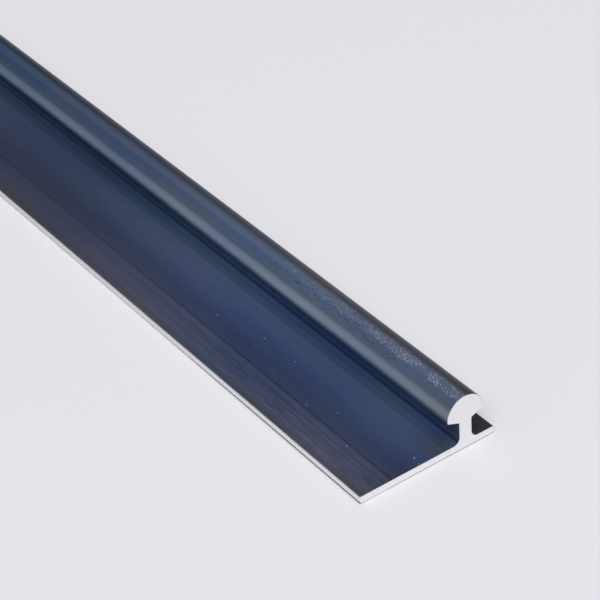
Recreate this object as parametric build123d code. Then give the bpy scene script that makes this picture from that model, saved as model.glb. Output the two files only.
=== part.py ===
from build123d import *

import os
from math import radians, tan

# Aluminium rail profile: a flat flange with a round running head on a thin stem, extruded in
# one piece and sawn square at both ends.
# Millimetres, +Z up. The origin is on the underside, below the middle of the stem and half way
# along the bar. The bar runs along Y, and the wide side of the flange points to -X.

# Bar
LENGTH = 1000.0
SAWN_EDGE_CHAMFER = 0.1

# Flange
FLANGE_WIDTH = 30.0
FLANGE_THICKNESS = 1.6
FLANGE_WIDE_SIDE = 23.6
FLANGE_EDGE_RADIUS = 0.3

# Drilling guide, a fine V groove along the top of the flange
GUIDE_FROM_EDGE = 7.1
GUIDE_WIDTH = 0.25
GUIDE_DEPTH = 0.1

# Stem
STEM_THICKNESS = 2.8
STEM_ROOT_RADIUS = 1.4
STEM_NECK_RADIUS = 0.3

# Running head
HEAD_RADIUS = 4.0
HEAD_CENTRE_HEIGHT = 7.75
LIP_ROOT_HEIGHT = 6.2
LIP_ANGLE = 21.5
LIP_TIP_RADIUS = 0.35

# Worked out from the driving dimensions
FLANGE_NARROW_SIDE = FLANGE_WIDTH - FLANGE_WIDE_SIDE
FLANGE_MID_HEIGHT = FLANGE_THICKNESS / 2
LIP_SLOPE = tan(radians(LIP_ANGLE))
LIP_APEX_HEIGHT = LIP_ROOT_HEIGHT - LIP_SLOPE * STEM_THICKNESS / 2

CORNER_TOLERANCE = 0.01


def guide_groove():
    """The V of the drilling guide, carried on above the flange to twice its width and depth."""
    middle = GUIDE_FROM_EDGE - FLANGE_WIDE_SIDE
    top = FLANGE_THICKNESS + GUIDE_DEPTH
    outline = Polyline(
        (middle, FLANGE_THICKNESS - GUIDE_DEPTH),
        (middle + GUIDE_WIDTH, top),
        (middle - GUIDE_WIDTH, top),
        close=True,
    )
    return make_face(outline)


def flange_section():
    """The flat flange, all four corners of its long edges rounded, with its drilling guide."""
    middle = (FLANGE_NARROW_SIDE - FLANGE_WIDE_SIDE) / 2
    plate = Pos(middle, FLANGE_MID_HEIGHT) * Rectangle(FLANGE_WIDTH, FLANGE_THICKNESS)
    return fillet(plate.vertices(), FLANGE_EDGE_RADIUS) - guide_groove()


def stem_section():
    """The thin stem, drawn from the middle of the flange to the centre of the head."""
    height = HEAD_CENTRE_HEIGHT - FLANGE_MID_HEIGHT
    return Pos(0, FLANGE_MID_HEIGHT + height / 2) * Rectangle(STEM_THICKNESS, height)


def above_lips():
    """The half of the drawing above the two straight undersides of the lips.

    The undersides rise outwards from one point on the middle of the stem.
    """
    reach = 2 * HEAD_RADIUS
    outer_height = LIP_APEX_HEIGHT + LIP_SLOPE * reach
    top = HEAD_CENTRE_HEIGHT + reach
    outline = Polyline(
        (0, LIP_APEX_HEIGHT),
        (reach, outer_height),
        (reach, top),
        (-reach, top),
        (-reach, outer_height),
        close=True,
    )
    return make_face(outline)


def head_section():
    """The round head, cut off below by the lips' undersides, with the lip tips rounded."""
    head = Pos(0, HEAD_CENTRE_HEIGHT) * Circle(HEAD_RADIUS) & above_lips()
    lip_tips = head.vertices().sort_by(Axis.Y)[1:3]
    return fillet(lip_tips, LIP_TIP_RADIUS)


def stem_corners(section, height):
    """The two corners that the sides of the stem make with its neighbours at this height."""
    half = STEM_THICKNESS / 2
    return [
        corner
        for corner in section.vertices()
        if abs(abs(corner.X) - half) < CORNER_TOLERANCE
        and abs(corner.Y - height) < CORNER_TOLERANCE
    ]


def rail_section():
    """The whole cross section, with the stem blended into the flange and into the lips."""
    section = flange_section() + stem_section() + head_section()
    section = fillet(stem_corners(section, FLANGE_THICKNESS), STEM_ROOT_RADIUS)
    return fillet(stem_corners(section, LIP_ROOT_HEIGHT), STEM_NECK_RADIUS)


def rail_profile():
    """The bar: the section pushed out both ways, with the saw's sharp edges taken off."""
    bar = extrude(Plane.XZ * rail_section(), amount=LENGTH / 2, both=True)
    sawn_ends = bar.faces().filter_by(Axis.Y)
    return chamfer(sawn_ends.edges(), SAWN_EDGE_CHAMFER)


os.makedirs("parts", exist_ok=True)
export_step(rail_profile(), "parts/rail_profile.step")
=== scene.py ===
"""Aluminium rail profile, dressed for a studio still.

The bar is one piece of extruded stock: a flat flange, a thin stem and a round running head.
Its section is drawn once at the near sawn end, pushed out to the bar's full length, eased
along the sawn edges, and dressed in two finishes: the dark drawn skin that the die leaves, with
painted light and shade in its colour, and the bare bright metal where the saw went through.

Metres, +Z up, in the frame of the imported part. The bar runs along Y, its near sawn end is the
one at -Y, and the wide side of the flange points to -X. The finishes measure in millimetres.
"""

import functools
import logging
import math
from dataclasses import dataclass
from enum import Enum
from typing import Dict, Optional, Sequence, Tuple, Union

import bpy
from mathutils import Matrix, Vector


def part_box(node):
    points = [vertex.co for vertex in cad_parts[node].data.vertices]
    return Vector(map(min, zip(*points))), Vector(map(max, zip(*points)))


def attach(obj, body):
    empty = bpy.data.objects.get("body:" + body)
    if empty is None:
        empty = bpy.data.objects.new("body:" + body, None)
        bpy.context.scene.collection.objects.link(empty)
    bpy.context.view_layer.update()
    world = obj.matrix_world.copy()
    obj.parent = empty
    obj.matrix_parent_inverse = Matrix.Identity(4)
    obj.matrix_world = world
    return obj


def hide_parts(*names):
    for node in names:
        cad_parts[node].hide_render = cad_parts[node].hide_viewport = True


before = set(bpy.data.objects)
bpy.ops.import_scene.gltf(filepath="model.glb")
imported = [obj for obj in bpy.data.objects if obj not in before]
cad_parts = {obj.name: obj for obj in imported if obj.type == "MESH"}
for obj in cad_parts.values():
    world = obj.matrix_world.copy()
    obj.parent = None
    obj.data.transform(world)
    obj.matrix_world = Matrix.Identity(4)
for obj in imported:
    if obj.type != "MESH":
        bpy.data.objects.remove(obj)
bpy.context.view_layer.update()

MM = 0.001
QUARTER_TURN = 90.0
HALF_TURN = 180.0
NODE = "rail_profile"

Colour = Tuple[float, float, float]
Place = Tuple[float, float, float]
Socket = bpy.types.NodeSocket
Source = Union[Socket, float, Sequence[float]]
Inputs = Dict[Union[str, int], Source]

log = logging.getLogger(NODE)


class Finish(Enum):
    """The finishes of the bar, in the order of its material slots."""

    DRAWN = 0
    SAWN = 1


class Blend(Enum):
    """How one colour is laid over another."""

    COVER = "MIX"
    TINT = "MULTIPLY"


class Pen:
    """Draws a closed outline, vertex by vertex, in a plane across the bar.

    Attributes:
        HOLD: Distance from each end of a run to the vertex that holds its face flat.
        SHORT: Length up to which a run has no such vertices.
        WELD: Distance within which two vertices are one.
        piece: The object being drawn, in edit mode.
        at: Where the pen is.
    """

    HOLD = 0.08 * MM
    SHORT = 4 * HOLD
    WELD = 0.001 * MM

    def __init__(self, name: str, x: float, y: float, z: float) -> None:
        """Puts down one vertex and stays in edit mode.

        Args:
            name: The finished piece's name.
            x: The start's place across the bar.
            y: The plane's place along the bar.
            z: The start's height.
        """
        bpy.ops.object.select_all(action="DESELECT")
        bpy.ops.mesh.primitive_plane_add(size=MM, location=(0, 0, 0))
        self.piece = bpy.context.active_object
        self.piece.name = self.piece.data.name = name
        bpy.ops.object.mode_set(mode="EDIT")
        bpy.ops.mesh.select_mode(type="VERT")
        bpy.ops.mesh.select_all(action="SELECT")
        bpy.ops.mesh.merge(type="CENTER")
        self.at = Vector((x, y, z))
        bpy.ops.transform.translate(value=self.at)

    def step_to(self, x: float, z: float) -> None:
        """Draws one straight edge.

        Args:
            x: Where the edge ends across the bar.
            z: The height at which it ends.
        """
        target = Vector((x, self.at.y, z))
        step = {"value": tuple(target - self.at)}
        bpy.ops.mesh.extrude_vertices_move(TRANSFORM_OT_translate=step)
        self.at = target

    def line_to(self, x: float, z: float) -> None:
        """Draws a straight run, with a vertex close to each end to hold its face flat.

        Args:
            x: Where the run ends across the bar.
            z: The height at which it ends.
        """
        run = Vector((x, self.at.y, z)) - self.at
        if run.length > self.SHORT:
            hold = run.normalized() * self.HOLD
            first, last = self.at + hold, self.at + run - hold
            self.step_to(first.x, first.z)
            self.step_to(last.x, last.z)
        self.step_to(x, z)

    def arc_about(self, x: float, z: float, degrees: float, steps: int) -> None:
        """Spins the pen about a centre.

        Args:
            x: The centre's place across the bar.
            z: The centre's height.
            degrees: The turn, positive from +X towards +Z.
            steps: How many straight edges stand for the arc.
        """
        centre = Vector((x, self.at.y, z))
        turn = math.radians(degrees)
        bpy.ops.mesh.spin(steps=steps, angle=turn, center=centre, axis=(0, 1, 0))
        arm = self.at - centre
        arm.rotate(Matrix.Rotation(-turn, 3, "Y"))
        self.at = centre + arm

    def close(self) -> None:
        """Welds the end of the outline to its start and fills it with one face."""
        bpy.ops.mesh.select_all(action="SELECT")
        bpy.ops.mesh.remove_doubles(threshold=self.WELD)
        bpy.ops.mesh.edge_face_add()


@dataclass(frozen=True)
class RailSection:
    """Sizes of the cross section, in metres, and the way the pen goes round it.

    Attributes:
        wide_side: Width of the flange from the stem's middle to the -X edge.
        narrow_side: Width of the flange from the stem's middle to the +X edge.
        flange_thickness: Thickness of the flange.
        edge_radius: Radius on the flange's long edges.
        guide_from_edge: Place of the drilling guide, from the wide edge.
        guide_width: Width of the drilling guide's V.
        guide_depth: Depth of the drilling guide's V.
        stem_thickness: Thickness of the stem.
        root_radius: Blend between the stem and the flange.
        neck_radius: Blend between the stem and the lips.
        head_radius: Radius of the running head.
        head_height: Height of the running head's centre.
        lip_root_height: Height at which a lip's underside meets the stem.
        lip_angle: Rise of a lip's underside, in degrees.
        tip_radius: Radius on the lips' tips.
        edge_steps: Straight edges in each radius of the flange's long edges.
        root_steps: Straight edges in a blend at the root.
        neck_steps: Straight edges in a blend at the neck.
        tip_steps: Straight edges round a lip's tip.
        head_steps: Straight edges round the head.
    """

    wide_side: float = 23.6 * MM
    narrow_side: float = 6.4 * MM
    flange_thickness: float = 1.6 * MM
    edge_radius: float = 0.3 * MM
    guide_from_edge: float = 7.1 * MM
    guide_width: float = 0.25 * MM
    guide_depth: float = 0.1 * MM
    stem_thickness: float = 2.8 * MM
    root_radius: float = 1.4 * MM
    neck_radius: float = 0.3 * MM
    head_radius: float = 4.0 * MM
    head_height: float = 7.75 * MM
    lip_root_height: float = 6.2 * MM
    lip_angle: float = 21.5
    tip_radius: float = 0.35 * MM
    edge_steps: int = 7
    root_steps: int = 14
    neck_steps: int = 6
    tip_steps: int = 8
    head_steps: int = 88

    def lip_line(self, x: float, clear: float = 0.0) -> float:
        """Gives the height of a line parallel to the lip's underside.

        Args:
            x: Distance from the stem's middle.
            clear: How far above the underside the line runs, square to it.

        Returns:
            The line's height at that distance.
        """
        lean = math.radians(self.lip_angle)
        reach = x - self.stem_thickness / 2
        return self.lip_root_height + reach * math.tan(lean) + clear / math.cos(lean)

    def neck_centre(self) -> Tuple[float, float]:
        """Gives the centre of the blend between the stem and the narrow side's lip."""
        x = self.stem_thickness / 2 + self.neck_radius
        return x, self.lip_line(x, -self.neck_radius)

    def tip_centre(self) -> Tuple[float, float]:
        """Gives the centre of the radius on the narrow side's lip tip.

        Returns:
            The point that lies on a line above the underside and on a circle inside the head.
        """
        slope = math.tan(math.radians(self.lip_angle))
        drop = self.lip_line(0.0, self.tip_radius) - self.head_height
        reach = self.head_radius - self.tip_radius
        a, b, c = 1 + slope**2, 2 * slope * drop, drop**2 - reach**2
        x = (-b + math.sqrt(b * b - 4 * a * c)) / (2 * a)
        return x, self.lip_line(x, self.tip_radius)

    def draw_flange_edge(self, pen: Pen, inner: float, outer: float) -> None:
        """Draws the outline round one long edge of the flange.

        Args:
            pen: The pen, at one face of the flange beside the edge.
            inner: Where the centres of the edge's two radii are across the bar.
            outer: Where the edge itself is across the bar.
        """
        low, high = self.edge_radius, self.flange_thickness - self.edge_radius
        first, last = (low, high) if outer > 0 else (high, low)
        pen.arc_about(inner, first, QUARTER_TURN, self.edge_steps)
        pen.line_to(outer, last)
        pen.arc_about(inner, last, QUARTER_TURN, self.edge_steps)

    def draw_head(self, pen: Pen) -> None:
        """Draws from the stem's narrow side, round the lips and the head, to its wide side.

        Args:
            pen: The pen, at the top of the narrow side's root blend.
        """
        x, z = self.neck_centre()
        tip_x, tip_z = self.tip_centre()
        lean = math.radians(self.lip_angle)
        neck_turn = QUARTER_TURN - self.lip_angle
        rise = math.degrees(math.atan2(tip_z - self.head_height, tip_x))
        lip_start = x - self.neck_radius * math.sin(lean)
        lip_stop = tip_x + self.tip_radius * math.sin(lean)
        pen.line_to(self.stem_thickness / 2, z)
        pen.arc_about(x, z, -neck_turn, self.neck_steps)
        pen.line_to(lip_stop, self.lip_line(lip_stop))
        pen.arc_about(tip_x, tip_z, neck_turn + rise, self.tip_steps)
        pen.arc_about(0.0, self.head_height, HALF_TURN - 2 * rise, self.head_steps)
        pen.arc_about(-tip_x, tip_z, neck_turn + rise, self.tip_steps)
        pen.line_to(-lip_start, self.lip_line(lip_start))
        pen.arc_about(-x, z, -neck_turn, self.neck_steps)

    def draw_guide(self, pen: Pen) -> None:
        """Draws the flange's top over the wide side as far as the guide, and the guide's V.

        Args:
            pen: The pen, on the flange's top between the stem and the guide.
        """
        middle, top = self.guide_from_edge - self.wide_side, self.flange_thickness
        half = self.guide_width / 2
        pen.line_to(middle + half, top)
        pen.step_to(middle, top - self.guide_depth)
        pen.step_to(middle - half, top)

    def draw(self, name: str, y: float) -> bpy.types.Object:
        """Draws the whole section as one flat face.

        Args:
            name: The finished piece's name.
            y: The section's place along the bar.

        Returns:
            The piece, in edit mode with the face selected.
        """
        top, radius = self.flange_thickness, self.edge_radius
        half, root = self.stem_thickness / 2, self.root_radius
        left, right = -self.wide_side, self.narrow_side
        pen = Pen(name, left + radius, y, 0.0)
        pen.line_to(right - radius, 0.0)
        self.draw_flange_edge(pen, right - radius, right)
        pen.line_to(half + root, top)
        pen.arc_about(half + root, top + root, -QUARTER_TURN, self.root_steps)
        self.draw_head(pen)
        pen.line_to(-half, top + root)
        pen.arc_about(-(half + root), top + root, -QUARTER_TURN, self.root_steps)
        self.draw_guide(pen)
        pen.line_to(left + radius, top)
        self.draw_flange_edge(pen, left + radius, left)
        pen.close()
        return pen.piece


class Graph:
    """A node tree, with a short call for each kind of node.

    Attributes:
        MIX_INPUTS: Which inputs of a colour mix are its factor and its two colours.
        MIX_RESULT: Which output of a colour mix is its colour.
        tree: The node tree.
    """

    MIX_INPUTS = (0, 6, 7)
    MIX_RESULT = 2

    def __init__(self, tree: bpy.types.NodeTree) -> None:
        """Empties a node tree."""
        self.tree = tree
        self.tree.nodes.clear()

    def node(self, kind: str, inputs: Optional[Inputs] = None,
             **settings: object) -> bpy.types.Node:
        """Adds a node.

        Args:
            kind: Blender's name of the node's type.
            inputs: What goes to its inputs, by their names or their places.
            **settings: The node's own settings.

        Returns:
            The node.
        """
        node = self.tree.nodes.new(kind)
        for name, value in settings.items():
            setattr(node, name, value)
        for key, source in (inputs or {}).items():
            self.plug(node.inputs[key], source)
        return node

    def plug(self, socket: Socket, source: Source) -> None:
        """Links a source to a socket, or sets the socket to a plain value.

        Args:
            socket: An input.
            source: Another node's output, a number, a colour or a vector.
        """
        if isinstance(source, bpy.types.NodeSocket):
            self.tree.links.new(source, socket)
        elif socket.type == "RGBA":
            socket.default_value = (*source, 1.0)
        else:
            socket.default_value = source

    def math(self, operation: str, *sources: Source) -> Socket:
        """Adds a math node, given Blender's name of its operation."""
        inputs = dict(enumerate(sources))
        return self.node("ShaderNodeMath", inputs, operation=operation).outputs[0]

    def product(self, *masks: Source) -> Source:
        """Gives the mask that several masks have in common."""
        return functools.reduce(lambda one, other: self.math("MULTIPLY", one, other), masks)

    def strongest(self, *masks: Source) -> Source:
        """Gives the strongest of several masks at each point."""
        return functools.reduce(lambda one, other: self.math("MAXIMUM", one, other), masks)

    def distance(self, value: Source, middle: float) -> Socket:
        """Gives how far a value is from a middle, on either side."""
        return self.math("ABSOLUTE", self.math("SUBTRACT", value, middle))

    def outside(self, value: Source, low: float, high: float) -> Socket:
        """Gives how far a value is outside a range, less than 0 inside it."""
        return self.math("SUBTRACT", self.distance(value, (low + high) / 2), (high - low) / 2)

    def mix(self, factor: Source, first: Source, second: Source,
            blend: Blend = Blend.COVER) -> Socket:
        """Mixes two colours.

        Args:
            factor: Share of the second colour.
            first: The colour at 0.
            second: The colour at 1, or the tint of the first.
            blend: How the second is laid over the first.

        Returns:
            The mixed colour.
        """
        inputs = dict(zip(self.MIX_INPUTS, (factor, first, second)))
        node = self.node("ShaderNodeMix", inputs, data_type="RGBA", blend_type=blend.value)
        return node.outputs[self.MIX_RESULT]

    def grey(self, tone: Socket) -> Socket:
        """Turns a number into a grey colour."""
        inputs = dict.fromkeys(("Red", "Green", "Blue"), tone)
        return self.node("ShaderNodeCombineColor", inputs).outputs["Color"]

    def millimetres(self, x: float = 1.0, y: float = 1.0, z: float = 1.0) -> Socket:
        """Gives the place on the object in millimetres, times a factor along each axis."""
        inputs = {"Vector": self.node("ShaderNodeTexCoord").outputs["Object"],
                  "Scale": (x / MM, y / MM, z / MM)}
        return self.node("ShaderNodeMapping", inputs).outputs["Vector"]

    def split(self, vector: Socket) -> Sequence[Socket]:
        """Splits a vector into its three parts."""
        return self.node("ShaderNodeSeparateXYZ", {"Vector": vector}).outputs

    def noise(self, vector: Socket, detail: float, rough: float) -> Socket:
        """Gives noise with blotches about one unit wide, mostly between 0.3 and 0.7."""
        inputs = {"Vector": vector, "Scale": 1.0, "Detail": detail, "Roughness": rough}
        return self.node("ShaderNodeTexNoise", inputs).outputs["Fac"]

    def bump(self, height: Socket, depth: float) -> Socket:
        """Turns a height into a surface normal, with 1 a depth in metres above 0."""
        return self.node("ShaderNodeBump", {"Height": height, "Distance": depth}).outputs["Normal"]


class SurfaceGraph(Graph):
    """The node tree of a new material, with its shader and its output.

    Attributes:
        material: The material.
        shader: Its shader.
    """

    def __init__(self, name: str) -> None:
        """Starts a material.

        Args:
            name: The material's name.
        """
        self.material = bpy.data.materials.new(name)
        self.material.use_nodes = True
        super().__init__(self.material.node_tree)
        self.shader = self.node("ShaderNodeBsdfPrincipled")
        self.node("ShaderNodeOutputMaterial", {"Surface": self.shader.outputs["BSDF"]})

    def shade(self, **sources: Source) -> bpy.types.Material:
        """Fills the shader's sockets.

        Args:
            **sources: What goes to each socket, named in lower case with underscores.

        Returns:
            The finished material.
        """
        for name, source in sources.items():
            title = name.replace("_", " ").title().replace("Ior", "IOR")
            self.plug(self.shader.inputs[title], source)
        return self.material


@dataclass(frozen=True)
class Fade:
    """A smooth change from one value to another.

    Attributes:
        start: Where the change begins.
        stop: Where it ends.
        low: The value up to the start.
        high: The value from the stop on.
    """

    start: float
    stop: float
    low: float = 0.0
    high: float = 1.0

    def over(self, graph: Graph, place: Source) -> Socket:
        """Gives the value at a place.

        Args:
            graph: The finish's node tree.
            place: What the start and the stop are measured in.

        Returns:
            The value.
        """
        inputs = {"Value": place, "From Min": self.start, "From Max": self.stop,
                  "To Min": self.low, "To Max": self.high}
        node = graph.node("ShaderNodeMapRange", inputs, interpolation_type="SMOOTHSTEP")
        return node.outputs["Result"]


@dataclass(frozen=True)
class Band:
    """A stretch with a soft side at each end.

    Attributes:
        start: Where its full strength begins.
        stop: Where its full strength ends.
        soft: Width of each soft side.
    """

    start: float
    stop: float
    soft: float

    def over(self, graph: Graph, place: Source) -> Source:
        """Masks the stretch, down to 0 beyond its soft sides."""
        fall = Fade(self.stop, self.stop + self.soft, 1.0, 0.0).over(graph, place)
        return graph.product(Fade(self.start - self.soft, self.start).over(graph, place), fall)


@dataclass(frozen=True)
class Grain:
    """Noise that may be stretched along the bar.

    Attributes:
        across: How many blotches a millimetre holds across the bar and upwards.
        along: How many blotches a millimetre holds along the bar.
        detail: How many finer layers it has.
        rough: How strong the finer layers are.
    """

    across: float
    along: float
    detail: float = 2.0
    rough: float = 0.5

    def over(self, graph: Graph) -> Socket:
        """Gives the noise on the bar."""
        place = graph.millimetres(self.across, self.along, self.across)
        return graph.noise(place, self.detail, self.rough)


@dataclass(frozen=True)
class Sway:
    """A value's way up and down with a noise.

    Attributes:
        grain: The noise.
        strength: How far the value goes for each unit of noise.
        middle: The noise that leaves the value as it is.
    """

    grain: Grain
    strength: float
    middle: float = 0.5

    def lay(self, graph: Graph, value: Source, where: Source = 1.0) -> Socket:
        """Sways a value within a mask."""
        swing = graph.math("SUBTRACT", self.grain.over(graph), self.middle)
        return graph.math("MULTIPLY_ADD", graph.product(swing, where), self.strength, value)


@dataclass(frozen=True)
class ToneAndLightBands:
    """Bands of painted reflection, painted highlight and painted shade in the skin's colour, over
    its own tone.

    Attributes:
        stops: Places, in millimetres or in degrees round the head, each with its tint.
        gain: The strongest tint that a stop can hold.
    """

    stops: Sequence[Tuple[float, Colour]]
    gain: float

    def ramp(self, graph: Graph, place: Socket) -> Socket:
        """Gives the tint at a place, as a share of the gain.

        Args:
            graph: The finish's node tree.
            place: What the stops are measured in.

        Returns:
            The tint.
        """
        first = self.stops[0][0]
        span = self.stops[-1][0] - first
        share = graph.math("DIVIDE", graph.math("SUBTRACT", place, first), span)
        node = graph.node("ShaderNodeValToRGB", {"Fac": share})
        node.color_ramp.interpolation = "CARDINAL"
        marks = node.color_ramp.elements
        while len(marks) < len(self.stops):
            marks.new(0.5)
        for mark, (at, tint) in zip(marks, self.stops):
            mark.position = (at - first) / span
            mark.color = (*(part / self.gain for part in tint), 1.0)
        return node.outputs["Color"]

    def lay(self, graph: Graph, colour: Source, place: Socket, where: Source) -> Socket:
        """Tints a colour with the painted light and shade of the bands, within a mask."""
        tint = graph.mix(1.0, self.ramp(graph, place), (self.gain,) * 3, Blend.TINT)
        return graph.mix(where, colour, tint, Blend.TINT)


# Over the flange and the stem, in millimetres from the wide edge: painted reflection and painted
# shade across the section, over the skin's own tone.
FLANGE_SHADE_AND_REFLECTION = ToneAndLightBands(
    gain=2.6,
    stops=(
        # The strip outside the drilling guide, warm at the edge: its own tone with painted
        # reflection.
        (0.0, (0.79, 0.67, 0.57)),
        (1.2, (0.82, 0.69, 0.61)),
        (3.0, (0.87, 0.82, 0.84)),
        (4.5, (0.70, 0.70, 0.80)),
        (7.5, (0.46, 0.53, 0.70)),
        # The open flange, with a painted reflection that gets paler towards the stem.
        (11.0, (0.43, 0.53, 0.73)),
        (15.0, (0.72, 0.86, 1.06)),
        (18.8, (1.02, 1.18, 1.27)),
        # The root of the stem under the head's lip: painted light over the shade there, and a
        # narrow dark band of painted shade in the crease at its foot.
        (19.2, (0.85, 1.06, 1.22)),
        (20.6, (1.02, 1.33, 1.52)),
        (21.4, (0.74, 1.05, 1.28)),
        (21.8, (0.18, 0.50, 0.82)),
        (22.05, (0.08, 0.37, 0.64)),
        # The two sides of the stem, lifted with painted light in the recess under the head.
        (22.2, (0.92, 1.24, 1.44)),
        (25.2, (0.80, 1.08, 1.26)),
        # The narrow side, darkened with painted shade under the head.
        (26.2, (0.48, 0.41, 0.34)),
        (30.0, (0.48, 0.41, 0.34)),
    ),
)

# Round the head, in degrees from its top towards the wide side: painted highlight, painted
# reflection and painted shade across the section.
HEAD_HIGHLIGHT_AND_SHADE = ToneAndLightBands(
    gain=3.4,
    stops=(
        # The shoulder on the narrow side, dark and nearly grey: painted shade.
        (-60.0, (0.46, 0.46, 0.43)),
        (-26.0, (0.52, 0.53, 0.48)),
        (-16.0, (0.70, 0.70, 0.62)),
        (-8.0, (0.72, 0.72, 0.66)),
        # The top, with a painted highlight, and the blue band beside it.
        (0.0, (0.92, 0.90, 0.84)),
        (14.0, (0.84, 0.88, 0.90)),
        (24.0, (0.66, 0.74, 0.80)),
        (38.0, (0.86, 0.94, 0.94)),
        # The pale band over the lip: a painted reflection.
        (56.0, (1.44, 1.40, 1.15)),
        (70.0, (1.50, 1.39, 1.08)),
        (82.0, (3.08, 2.78, 2.02)),
        # The lip's tip and its underside, lightened with painted light.
        (92.0, (1.42, 1.48, 1.18)),
        (100.0, (1.35, 1.75, 1.60)),
    ),
)

# Along the flange, in millimetres from the near end: painted change of the reflection along the
# bar, with some change of its own tone.
FLANGE_TONE_AND_REFLECTION_DRIFT = ToneAndLightBands(
    gain=1.4,
    stops=(
        (0.0, (0.92, 0.83, 0.80)),
        (10.0, (1.10, 1.03, 0.96)),
        (30.0, (0.80, 0.88, 0.91)),
        (70.0, (1.00, 1.01, 0.98)),
        (120.0, (0.83, 0.78, 0.71)),
    ),
)

# Along the head, in millimetres from the near end: a painted highlight, strongest towards the near
# end.
HEAD_HIGHLIGHT_DRIFT = ToneAndLightBands(
    gain=1.4,
    stops=(
        (0.0, (1.20, 1.03, 0.84)),
        (10.0, (1.22, 1.08, 0.95)),
        (25.0, (1.08, 1.04, 0.99)),
        (45.0, (1.31, 1.19, 1.05)),
        (75.0, (0.93, 0.97, 0.96)),
        (120.0, (0.79, 0.83, 0.85)),
    ),
)


@dataclass(frozen=True)
class BarMap:
    """Where a point of the drawn skin is, in sockets that the marks on it read.

    Attributes:
        height: Its height over the underside.
        from_edge: Its distance from the flange's wide edge.
        past_edge: How far it is past the nearer long edge, less than 0 inside.
        from_end: Its distance from the near sawn end.
        past_end: How far it is past the nearer sawn end, less than 0 inside.
        round_head: Its angle round the head from the top to the wide side, in degrees.
        on_head: Mask of the head.
        on_flange: Mask of the flange and the stem.
        HEAD: How the head's mask grows with the height.
        FLANGE: How the flange's mask falls with the height.
    """

    HEAD = Fade(6.0, 6.3)
    FLANGE = Fade(4.6, 5.8, 1.0, 0.0)

    height: Socket
    from_edge: Socket
    past_edge: Socket
    from_end: Socket
    past_end: Socket
    round_head: Socket
    on_head: Socket
    on_flange: Socket

    @classmethod
    def draw(cls, graph: Graph, section: RailSection, near: float, far: float) -> "BarMap":
        """Works out the sockets.

        Args:
            graph: The skin's node tree.
            section: The bar's section.
            near: Where the near sawn end is along the bar.
            far: Where the far sawn end is along the bar.

        Returns:
            The map.
        """
        x, y, z = graph.split(graph.millimetres())
        outwards = graph.math("MULTIPLY", x, -1.0)
        above = graph.math("SUBTRACT", z, section.head_height / MM)
        return cls(
            height=z,
            from_edge=graph.math("ADD", x, section.wide_side / MM),
            past_edge=graph.outside(x, -section.wide_side / MM, section.narrow_side / MM),
            from_end=graph.math("SUBTRACT", y, near / MM),
            past_end=graph.outside(y, near / MM, far / MM),
            round_head=graph.math("DEGREES", graph.math("ARCTAN2", outwards, above)),
            on_head=cls.HEAD.over(graph, z),
            on_flange=cls.FLANGE.over(graph, z),
        )


class Mark:
    """A mark on the drawn skin.

    Attributes:
        blend: How it is laid over the skin.
        colour: Its colour, where it has one.
    """

    blend = Blend.COVER
    colour: Colour

    def where(self, graph: Graph, bar: BarMap) -> Source:
        """Masks the mark, with 1 where it is in full."""
        return 1.0

    def paint(self, graph: Graph, bar: BarMap) -> Source:
        """Gives the mark's colour, or what it tints the skin with."""
        return self.colour

    def lay(self, graph: Graph, bar: BarMap, colour: Source) -> Socket:
        """Lays the mark over the colour of the skin."""
        return graph.mix(self.where(graph, bar), colour, self.paint(graph, bar), self.blend)


@dataclass(frozen=True)
class RootPatch(Mark):
    """A lighter, greyer patch on the stem's root, close to the near end.

    Attributes:
        across: Where it is, from the wide edge.
        along: Its strength over the distance from the near end.
        climb: How the flange's tint turns into the stem's over the height.
        flange_tint: Its tint on the flange.
        stem_tint: Its tint on the stem.
    """

    blend = Blend.TINT
    across: Band = Band(18.0, 22.2, 4.0)
    along: Fade = Fade(2.0, 6.0, 1.0, 0.0)
    climb: Fade = Fade(1.8, 3.0)
    flange_tint: Colour = (1.2, 0.95, 0.76)
    stem_tint: Colour = (1.7, 1.3, 1.0)

    def where(self, graph: Graph, bar: BarMap) -> Source:
        """Masks the smudge."""
        across = self.across.over(graph, bar.from_edge)
        return graph.product(across, self.along.over(graph, bar.from_end), bar.on_flange)

    def paint(self, graph: Graph, bar: BarMap) -> Socket:
        """Gives the smudge's tint."""
        climb = self.climb.over(graph, bar.height)
        return graph.mix(climb, self.flange_tint, self.stem_tint)


@dataclass(frozen=True)
class DieLines(Mark):
    """Fine lines and broader streaks along the bar, and worn patches by the wide edge.

    Attributes:
        lines: The fine lines.
        streaks: The broader streaks.
        patches: The worn patches.
        across: Strength of the lines and streaks over the distance from the wide edge.
        along: Their strength over the distance from the near end.
        worn_across: Where the patches are, from the wide edge.
        worn_along: Their strength over the distance from the near end.
    """

    blend = Blend.TINT
    lines: Sway = Sway(Grain(3.0, 0.004, 3.0, 0.6), 0.5)
    streaks: Sway = Sway(Grain(0.9, 0.004, 1.0), 0.9)
    patches: Sway = Sway(Grain(1.7, 0.2, 3.0, 0.6), 1.2, middle=0.42)
    across: Fade = Fade(6.5, 8.5, 1.0, 0.25)
    along: Fade = Fade(50.0, 110.0, 1.0, 0.4)
    worn_across: Band = Band(1.5, 6.0, 1.5)
    worn_along: Fade = Fade(20.0, 90.0, 1.0, 0.0)

    def paint(self, graph: Graph, bar: BarMap) -> Socket:
        """Gives the lighter and darker tones.

        Args:
            graph: The skin's node tree.
            bar: Where the point is.

        Returns:
            A grey that tints the skin.
        """
        lined = graph.product(self.across.over(graph, bar.from_edge),
                              self.along.over(graph, bar.from_end))
        worn = graph.product(self.worn_across.over(graph, bar.from_edge),
                             self.worn_along.over(graph, bar.from_end))
        tone: Source = 1.0
        for sway, where in ((self.lines, lined), (self.streaks, lined), (self.patches, worn)):
            tone = sway.lay(graph, tone, where)
        return graph.grey(tone)


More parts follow.
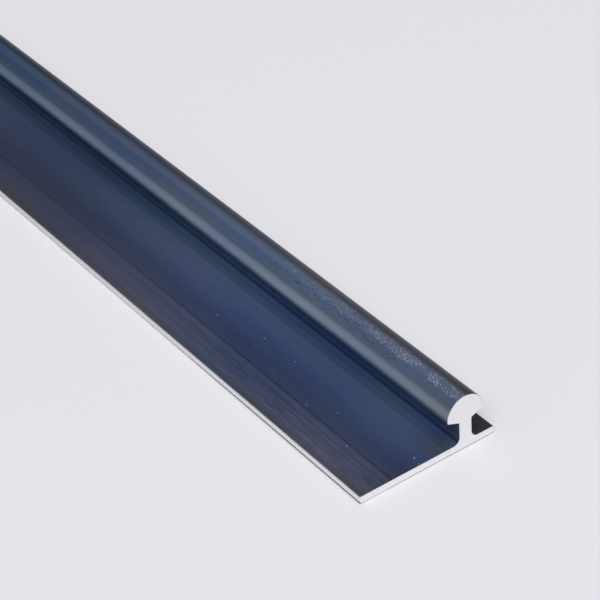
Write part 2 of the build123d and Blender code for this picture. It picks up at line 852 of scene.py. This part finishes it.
@dataclass(frozen=True)
class ScoresAndGuideShade(Mark):
    """Thin dark scores beside the drilling guide, and a line of painted shade in the guide's V.

    Attributes:
        lines: Each line's distance from the wide edge, and its weight over the distance
            from its own middle.
        along: Their strength over the distance from the near end.
        colour: Their colour.
    """

    lines: Sequence[Tuple[float, Fade]] = (
        (4.4, Fade(0.04, 0.22, 0.45, 0.0)),
        (5.3, Fade(0.04, 0.18, 0.35, 0.0)),
        # The guide's line: painted shade in its V.
        (RailSection.guide_from_edge / MM, Fade(0.04, 0.24, 0.55, 0.0)),
    )
    along: Fade = Fade(50.0, 100.0, 1.0, 0.15)
    colour: Colour = (0.02, 0.025, 0.04)

    def where(self, graph: Graph, bar: BarMap) -> Source:
        """Masks the lines."""
        masks = [weight.over(graph, graph.distance(bar.from_edge, place))
                 for place, weight in self.lines]
        return graph.product(graph.strongest(*masks), self.along.over(graph, bar.from_end))


@dataclass(frozen=True)
class Clouds(Mark):
    """Soft warm and cool patches all over the skin.

    Attributes:
        grain: Their noise.
        turn: How the noise turns the cool tint into the warm one.
        cool: The cool tint.
        warm: The warm tint.
    """

    blend = Blend.TINT
    grain: Grain = Grain(0.10, 0.025)
    turn: Fade = Fade(0.35, 0.65)
    cool: Colour = (0.84, 0.93, 1.03)
    warm: Colour = (1.16, 1.05, 1.03)

    def paint(self, graph: Graph, bar: BarMap) -> Socket:
        """Gives the patches' tint."""
        turn = self.turn.over(graph, self.grain.over(graph))
        return graph.mix(turn, self.cool, self.warm)


@dataclass(frozen=True)
class Speckles(Mark):
    """A trail of speckles along the head's shoulder, towards the near end.

    Attributes:
        colour: Their colour.
        around: Where the trail is round the head, in degrees from its top.
        along: Its strength over the distance from the near end.
        grain: The noise whose peaks are the speckles.
        crowding: How far the trail at full strength lifts the noise.
        cut: A speckle's weight over the lifted noise.
        bunches: How the speckles gather in bunches, if they do.
        shown: The trail's weight over its strength, if the two differ.
    """

    colour: Colour
    around: Band
    along: Union[Band, Fade]
    grain: Grain
    crowding: float
    cut: Fade
    bunches: Optional[Sway] = None
    shown: Optional[Fade] = None

    def where(self, graph: Graph, bar: BarMap) -> Source:
        """Masks the speckles.

        Args:
            graph: The skin's node tree.
            bar: Where the point is.

        Returns:
            The mask.
        """
        trail = graph.product(self.around.over(graph, bar.round_head),
                              self.along.over(graph, bar.from_end), bar.on_head)
        level = self.grain.over(graph)
        if self.bunches:
            level = self.bunches.lay(graph, level)
        level = graph.math("MULTIPLY_ADD", trail, self.crowding, level)
        weight = self.shown.over(graph, trail) if self.shown else trail
        return graph.product(self.cut.over(graph, level), weight)


BRIGHT_GREY = (0.55, 0.62, 0.72)

PITS = Speckles(
    colour=(0.02, 0.03, 0.06),
    around=Band(8.0, 44.0, 8.0),
    along=Band(18.0, 52.0, 10.0),
    grain=Grain(2.2, 1.3, 2.0, 0.6),
    crowding=0.1,
    cut=Fade(0.66, 0.74, 0.0, 0.45),
)

SPECKS = Speckles(
    colour=BRIGHT_GREY,
    around=Band(-2.0, 24.0, 8.0),
    along=Fade(10.0, 70.0, 1.0, 0.0),
    grain=Grain(3.9, 2.6, 2.0, 0.6),
    crowding=0.14,
    cut=Fade(0.69, 0.76, 0.0, 0.65),
    bunches=Sway(Grain(0.6, 0.22, 1.0), 0.4),
    shown=Fade(0.0, 0.3),
)


@dataclass(frozen=True)
class Dust(Mark):
    """A few grains of dust on the flange, towards the near end.

    Attributes:
        colour: Their colour.
        cells: How many cells a millimetre holds across the bar, along it and upwards.
        grain: A grain's weight over the distance from its cell's middle, in cells.
        chance: A grain's weight over its cell's random number.
        along: Their strength over the distance from the near end.
        across: Where they are, from the wide edge.
    """

    colour: Colour = BRIGHT_GREY
    cells: Tuple[float, float, float] = (0.7, 0.5, 0.7)
    grain: Fade = Fade(0.03, 0.12, 0.9, 0.0)
    chance: Fade = Fade(0.55, 1.0)
    along: Fade = Fade(50.0, 85.0, 1.0, 0.0)
    across: Band = Band(2.5, 14.0, 1.0)

    def where(self, graph: Graph, bar: BarMap) -> Source:
        """Masks the dust.

        Args:
            graph: The skin's node tree.
            bar: Where the point is.

        Returns:
            The mask.
        """
        inputs = {"Vector": graph.millimetres(*self.cells), "Scale": 1.0}
        cell = graph.node("ShaderNodeTexVoronoi", inputs).outputs
        chance = graph.split(cell["Color"])[0]
        return graph.product(self.grain.over(graph, cell["Distance"]),
                             self.chance.over(graph, chance),
                             self.along.over(graph, bar.from_end),
                             self.across.over(graph, bar.from_edge), bar.on_flange)


@dataclass(frozen=True)
class BareMetal(Mark):
    """Where the skin is off: the flange's long edges and the rims of the sawn ends.

    Attributes:
        colour: Colour of the bare metal.
        ragged: How the border along the edges wanders inwards.
        border: The mask over the distance past a long edge.
        corner: Its strength over the height, less where the edge rounds off at the top.
        along: Its strength over the distance from the near end.
        rim: The mask over the distance past a sawn end.
    """

    colour: Colour = (0.98, 0.99, 1.00)
    ragged: Sway = Sway(Grain(1.0, 0.8, 3.0, 0.7), 0.12, middle=0.0)
    border: Fade = Fade(-0.10, -0.02)
    corner: Fade = Fade(1.2, 1.5, 1.0, 0.6)
    along: Fade = Fade(10.0, 110.0, 1.0, 0.86)
    rim: Fade = Fade(-0.06, -0.04)

    def where(self, graph: Graph, bar: BarMap) -> Source:
        """Masks the bare metal.

        Args:
            graph: The skin's node tree.
            bar: Where the point is.

        Returns:
            The mask.
        """
        place = self.ragged.lay(graph, bar.past_edge)
        edges = graph.product(self.border.over(graph, place),
                              self.corner.over(graph, bar.height),
                              self.along.over(graph, bar.from_end))
        return graph.strongest(edges, self.rim.over(graph, bar.past_end))


@dataclass(frozen=True)
class PaintedFootShadow(Mark):
    """Painted contact shadow along the foot of the flange's edges, strongest at the near end.

    Attributes:
        colour: Its colour.
        low: Its strength over the height.
        along: Its strength over the distance from the near end.
    """

    colour: Colour = (0.02, 0.02, 0.025)
    low: Fade = Fade(0.37, 0.47, 1.0, 0.0)
    along: Fade = Fade(25.0, 75.0, 1.0, 0.0)

    def where(self, graph: Graph, bar: BarMap) -> Source:
        """Masks the line."""
        low = self.low.over(graph, bar.height)
        return graph.product(low, self.along.over(graph, bar.from_end))


@dataclass(frozen=True)
class DrawnSkin:
    """The dark blue-grey skin of the drawn faces, with painted light and shade and the marks on
    it.

    Attributes:
        colour: Colour of the skin on the head.
        flange_tint: What tints it on the flange.
        climb: How the flange's colour turns into the head's over the height.
        marks: The marks on the skin, the lowest first.
        bare: Where the skin is off.
        foot: The painted contact shadow at the foot.
        metallic: Share of metal in the sheen over the height.
        relief: Noise of the die lines' relief.
        relief_depth: Depth of the relief, in metres.
        roughness: Roughness of the metal over that noise.
        slant_tint: Tint of the sheen that is seen at a slant.
        gloss: Weight of the smooth film on the skin.
        gloss_roughness: Roughness of the film.
    """

    colour: Colour = (0.173, 0.228, 0.368)
    flange_tint: Colour = (0.45, 0.45, 0.47)
    climb: Fade = Fade(3.0, 6.2)
    marks: Sequence[Mark] = (RootPatch(), DieLines(), ScoresAndGuideShade(), Clouds(), PITS, SPECKS, Dust())
    bare: BareMetal = BareMetal()
    foot: PaintedFootShadow = PaintedFootShadow()
    metallic: Fade = Fade(2.0, 6.0, 0.4, 0.9)
    relief: Grain = DieLines.lines.grain
    relief_depth: float = 0.004 * MM
    roughness: Fade = Fade(0.3, 0.7, 0.32, 0.40)
    slant_tint: Colour = (0.45, 0.42, 0.38)
    gloss: float = 0.2
    gloss_roughness: float = 0.2

    def build(self, section: RailSection, near: float, far: float) -> bpy.types.Material:
        """Makes the material.

        Args:
            section: The section whose bands it follows.
            near: Where the near sawn end is along the bar.
            far: Where the far sawn end is along the bar.

        Returns:
            The material.
        """
        graph = SurfaceGraph("drawn_skin")
        bar = BarMap.draw(graph, section, near, far)
        colour = self.toned_with_painted_light(graph, bar)
        for mark in self.marks:
            colour = mark.lay(graph, bar, colour)
        bare = self.bare.where(graph, bar)
        colour = graph.mix(bare, colour, self.bare.colour)
        relief = self.relief.over(graph)
        return graph.shade(
            # The painted contact shadow at the foot is laid last.
            base_color=self.foot.lay(graph, bar, colour),
            metallic=graph.strongest(self.metallic.over(graph, bar.height), bare),
            roughness=self.roughness.over(graph, relief),
            specular_tint=self.slant_tint,
            coat_weight=self.gloss,
            coat_roughness=self.gloss_roughness,
            normal=graph.bump(relief, self.relief_depth),
        )

    def toned_with_painted_light(self, graph: Graph, bar: BarMap) -> Socket:
        """Gives the skin's colour with the painted light and shade of the bands, before any mark.

        Args:
            graph: The skin's node tree.
            bar: Where the point is.

        Returns:
            The colour.
        """
        flange = graph.mix(1.0, self.colour, self.flange_tint, Blend.TINT)
        colour = graph.mix(self.climb.over(graph, bar.height), flange, self.colour)
        # Bands of painted reflection, highlight and shade, laid into the colour.
        for tones, place, where in (
            (FLANGE_SHADE_AND_REFLECTION, bar.from_edge, bar.on_flange),
            (HEAD_HIGHLIGHT_AND_SHADE, bar.round_head, bar.on_head),
            (FLANGE_TONE_AND_REFLECTION_DRIFT, bar.from_end, bar.on_flange),
            (HEAD_HIGHLIGHT_DRIFT, bar.from_end, bar.on_head),
        ):
            colour = tones.lay(graph, colour, place, where)
        return colour


@dataclass(frozen=True)
class SawnFace:
    """The bare bright metal of the sawn ends.

    Attributes:
        colour: Colour of the metal.
        metallic: Share of metal in its sheen.
        roughness: Its roughness.
        mark_colour: Colour of the saw marks.
        mark_angle: Lean of the saw marks, in degrees.
        mark_stretch: How many marks a millimetre holds along each axis.
        mark_detail: How many finer layers the marks have.
        mark_rough: How strong the finer layers are.
        mark_shade: Weight of the marks' colour over their noise.
        mark_depth: Depth of the saw marks, in metres.
        foot: Colour of the painted contact shadow at the foot.
        foot_shadow_low: The painted shadow's strength over the height.
        foot_shadow_across: Its strength over the distance from the stem's middle.
    """

    colour: Colour = (0.95, 0.97, 0.97)
    metallic: float = 0.3
    roughness: float = 0.4
    mark_colour: Colour = (0.55, 0.57, 0.60)
    mark_angle: float = 24.0
    mark_stretch: Tuple[float, float, float] = (5.0, 1.0, 0.35)
    mark_detail: float = 3.0
    mark_rough: float = 0.6
    mark_shade: Fade = Fade(0.3, 0.7, 0.0, 0.12)
    mark_depth: float = 0.004 * MM
    foot: Colour = (0.12, 0.12, 0.14)
    foot_shadow_low: Fade = Fade(0.12, 0.24, 1.0, 0.0)
    foot_shadow_across: Fade = Fade(-20.0, -12.0, 0.2, 0.75)

    def saw_marks(self, graph: Graph, place: Socket) -> Socket:
        """Gives the noise of the saw marks.

        Args:
            graph: The finish's node tree.
            place: The place on the bar, in millimetres.

        Returns:
            The noise.
        """
        turn = (0.0, math.radians(self.mark_angle), 0.0)
        inputs = {"Vector": place, "Rotation": turn, "Scale": self.mark_stretch}
        leaning = graph.node("ShaderNodeMapping", inputs).outputs["Vector"]
        return graph.noise(leaning, self.mark_detail, self.mark_rough)

    def build(self) -> bpy.types.Material:
        """Makes the material.

        Returns:
            The material.
        """
        graph = SurfaceGraph("sawn_face")
        place = graph.millimetres()
        marks = self.saw_marks(graph, place)
        colour = graph.mix(self.mark_shade.over(graph, marks), self.colour, self.mark_colour)
        x, _, z = graph.split(place)
        # Painted contact shadow: a dark line along the foot of the sawn end.
        foot = graph.product(self.foot_shadow_low.over(graph, z), self.foot_shadow_across.over(graph, x))
        return graph.shade(
            base_color=graph.mix(foot, colour, self.foot),
            metallic=self.metallic,
            roughness=self.roughness,
            normal=graph.bump(marks, self.mark_depth),
        )


@dataclass(frozen=True)
class RailBar:
    """The bar: its section pushed out between the sawn ends, and dressed.

    Attributes:
        near: Where the near sawn end is along the bar.
        far: Where the far sawn end is along the bar.
        section: The cross section.
        drawn: Finish of every face that the die has drawn.
        sawn: Finish of the flat ends.
        sawn_edge: Size of the chamfer round the sawn ends.
        smooth_angle: Widest bend that is shaded smooth, in degrees.
        squareness: How squarely a flat end looks along the bar, at least.
    """

    near: float
    far: float
    section: RailSection = RailSection()
    drawn: DrawnSkin = DrawnSkin()
    sawn: SawnFace = SawnFace()
    sawn_edge: float = 0.1 * MM
    smooth_angle: float = 30.0
    squareness: float = 0.99

    def build(self) -> bpy.types.Object:
        """Models the bar.

        Returns:
            The bar, in object mode, with no material yet.
        """
        bar = self.section.draw("bar", self.near + self.sawn_edge)
        length = self.far - self.near - 2 * self.sawn_edge
        push = {"value": (0.0, length, 0.0)}
        bpy.ops.mesh.extrude_region_move(TRANSFORM_OT_translate=push)
        bpy.ops.mesh.select_all(action="SELECT")
        bpy.ops.mesh.normals_make_consistent(inside=False)
        self.pick_ends(bar)
        bpy.ops.mesh.inset(thickness=self.sawn_edge, depth=self.sawn_edge)
        bpy.ops.object.mode_set(mode="OBJECT")
        bpy.ops.object.shade_smooth_by_angle(angle=math.radians(self.smooth_angle))
        return bar

    def is_end(self, face: bpy.types.MeshPolygon) -> bool:
        """Tells whether a face is one of the two flat ends."""
        return abs(face.normal.y) > self.squareness

    def pick_ends(self, bar: bpy.types.Object) -> None:
        """Selects the two flat end faces, and goes back to edit mode.

        Args:
            bar: The bar, in edit mode.
        """
        bpy.ops.mesh.select_mode(type="FACE")
        bpy.ops.mesh.select_all(action="DESELECT")
        bpy.ops.object.mode_set(mode="OBJECT")
        for face in bar.data.polygons:
            face.select = self.is_end(face)
        bpy.ops.object.mode_set(mode="EDIT")

    def dress(self, bar: bpy.types.Object) -> None:
        """Puts the finishes on the bar.

        Args:
            bar: The modelled bar.
        """
        bar.data.materials.append(self.drawn.build(self.section, self.near, self.far))
        bar.data.materials.append(self.sawn.build())
        for face in bar.data.polygons:
            finish = Finish.SAWN if self.is_end(face) else Finish.DRAWN
            face.material_index = finish.value


@dataclass(frozen=True)
class FloorFinish:
    """A plain pale floor.

    Attributes:
        colour: Its colour.
        roughness: Its roughness.
        sheen: How much it mirrors.
    """

    colour: Colour = (0.765, 0.76, 0.79)
    roughness: float = 0.9
    sheen: float = 0.1

    def build(self) -> bpy.types.Material:
        """Makes the material."""
        return SurfaceGraph("floor").shade(
            base_color=self.colour, roughness=self.roughness, specular_ior_level=self.sheen
        )


@dataclass(frozen=True)
class Lamp:
    """A soft area lamp.

    Attributes:
        name: Its name.
        place: Where it stands.
        aim: Where it points.
        width: Its width and its height.
        power: Its power, in watts.
    """

    name: str
    place: Place
    aim: Place
    width: float
    power: float

    def hang(self) -> None:
        """Puts the lamp up."""
        direction = Vector(self.aim) - Vector(self.place)
        turn = direction.to_track_quat("-Z", "Y").to_euler()
        bpy.ops.object.light_add(type="AREA", location=self.place, rotation=turn)
        lamp = bpy.context.active_object
        lamp.name = lamp.data.name = self.name
        lamp.data.shape = "RECTANGLE"
        lamp.data.size = lamp.data.size_y = self.width
        lamp.data.energy = self.power


@dataclass(frozen=True)
class Dome:
    """The studio round the floor: a pale foot, dim walls and a bright ceiling.

    Attributes:
        foot: Radiance just above the floor.
        wall: Radiance of the walls.
        ceiling: Radiance straight overhead.
        low: Strength of the foot over the sine of the height.
        climb: How the wall turns into the ceiling over the sine of the height.
    """

    foot: Colour = (0.76, 0.76, 0.79)
    wall: Colour = (0.11, 0.11, 0.12)
    ceiling: Colour = (0.62, 0.62, 0.64)
    low: Fade = Fade(0.06, 0.17, 1.0, 0.0)
    climb: Fade = Fade(0.28, 1.0)

    def build(self) -> None:
        """Makes the world."""
        world = bpy.data.worlds.new("studio")
        bpy.context.scene.world = world
        world.use_nodes = True
        graph = Graph(world.node_tree)
        direction = graph.node("ShaderNodeTexCoord").outputs["Generated"]
        height = graph.split(direction)[2]
        colour = graph.mix(self.climb.over(graph, height), self.wall, self.ceiling)
        colour = graph.mix(self.low.over(graph, height), colour, self.foot)
        shine = graph.node("ShaderNodeBackground", {"Color": colour})
        graph.node("ShaderNodeOutputWorld", {"Surface": shine.outputs["Background"]})


NEAR_STRETCH = (0.0, -0.40, 0.0)


@dataclass(frozen=True)
class Studio:
    """The floor, the lamps and the dome.

    Attributes:
        floor_size: Width of the floor.
        finish: The floor's finish.
        lamps: The lamps, which point at the bar's near stretch.
        dome: What surrounds the floor.
    """

    floor_size: float = 60.0
    finish: FloorFinish = FloorFinish()
    lamps: Sequence[Lamp] = (
        Lamp("key", place=(-0.2, -1.8, 4.2), aim=NEAR_STRETCH, width=1.6, power=66.5),
        Lamp("fill", place=(-1.8, -2.2, 3.4), aim=NEAR_STRETCH, width=1.8, power=67.0),
    )
    dome: Dome = Dome()

    def build(self) -> None:
        """Lays the floor, hangs the lamps and makes the dome."""
        bpy.ops.mesh.primitive_plane_add(size=self.floor_size, location=(0, 0, 0))
        floor = bpy.context.active_object
        floor.name = floor.data.name = "floor"
        floor.data.materials.append(self.finish.build())
        for lamp in self.lamps:
            lamp.hang()
        self.dome.build()


@dataclass(frozen=True)
class PhotoCamera:
    """The camera, where the photograph was taken from.

    Attributes:
        place: Where it stands.
        yaw: Its turn from +Y towards +X, in degrees.
        pitch: Its look downwards, in degrees.
        roll: Its roll, in degrees.
        lens: Its focal length, in millimetres.
        film_width: Width of its frame, in millimetres.
        clip_start: Distance at which it begins to see.
    """

    place: Place = (-0.184061, -0.731386, 0.252029)
    yaw: float = 33.185
    pitch: float = 36.372
    roll: float = -4.428
    lens: float = 130.566
    film_width: float = 36.0
    clip_start: float = 10 * MM

    def build(self) -> None:
        """Makes the camera and looks through it."""
        turn = Matrix.Rotation(math.radians(-self.yaw), 3, "Z")
        turn @= Matrix.Rotation(math.radians(QUARTER_TURN - self.pitch), 3, "X")
        turn @= Matrix.Rotation(math.radians(self.roll), 3, "Z")
        bpy.ops.object.camera_add(location=self.place, rotation=turn.to_euler())
        camera = bpy.context.active_object
        camera.name = camera.data.name = "camera"
        camera.data.lens = self.lens
        camera.data.sensor_width = self.film_width
        camera.data.clip_start = self.clip_start
        bpy.context.scene.camera = camera


def main() -> None:
    """Builds the bar and the studio, and reports the bar."""
    logging.basicConfig(level=logging.INFO, format="%(name)s: %(message)s")
    low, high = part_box(NODE)
    rail = RailBar(near=low[1], far=high[1])
    bar = rail.build()
    rail.dress(bar)
    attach(bar, "root")
    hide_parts(NODE)
    log.info("%s: %d faces, %.1f mm long", bar.name, len(bar.data.polygons),
             (rail.far - rail.near) / MM)

    Studio().build()
    PhotoCamera().build()
    bpy.context.scene.view_settings.view_transform = "Standard"


if __name__ == "__main__":
    main()
